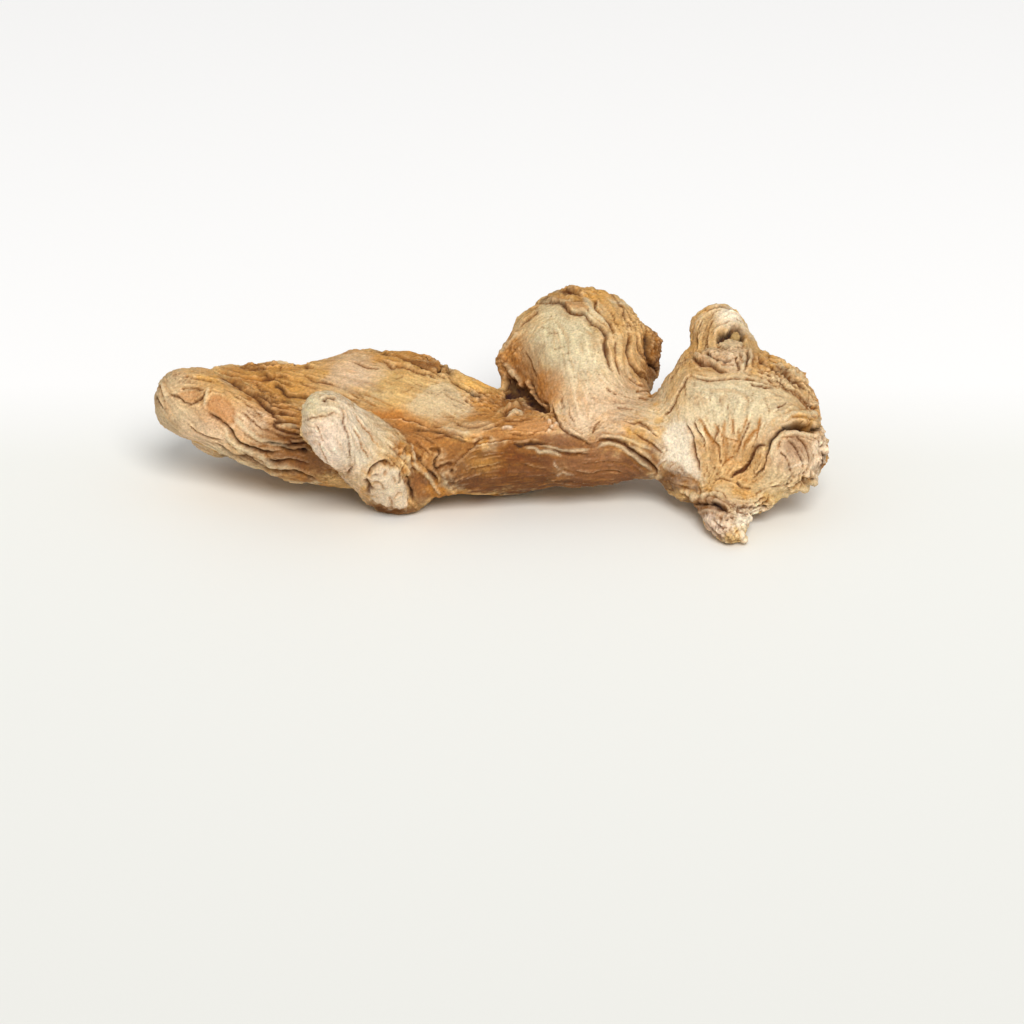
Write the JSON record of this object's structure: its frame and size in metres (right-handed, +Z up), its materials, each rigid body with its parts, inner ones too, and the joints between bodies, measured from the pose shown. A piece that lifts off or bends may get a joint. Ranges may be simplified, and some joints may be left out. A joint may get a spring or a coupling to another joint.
{
  "type": "dried ginger root",
  "caption": "Dried ginger root: a wrinkled hand of rhizome with stubby fingers and knobs, lying flat, for cooking, tea or grating.",
  "frame": {"origin": "middle of the root's box, on the surface that it lies on", "axes": "+X along the root from the long finger's tip to the right knob, +Y towards the back, where the bell and the bud lean, +Z up from the surface"},
  "size_m": [0.1082, 0.0482, 0.0278],
  "materials": {
    "dried_skin": "matt, wrinkled, tan cork skin with pale peeled patches and brown furrows"
  },
  "bodies": {
    "root": {"dried_ginger_root": "dried_skin"}
  },
  "joints": []
}
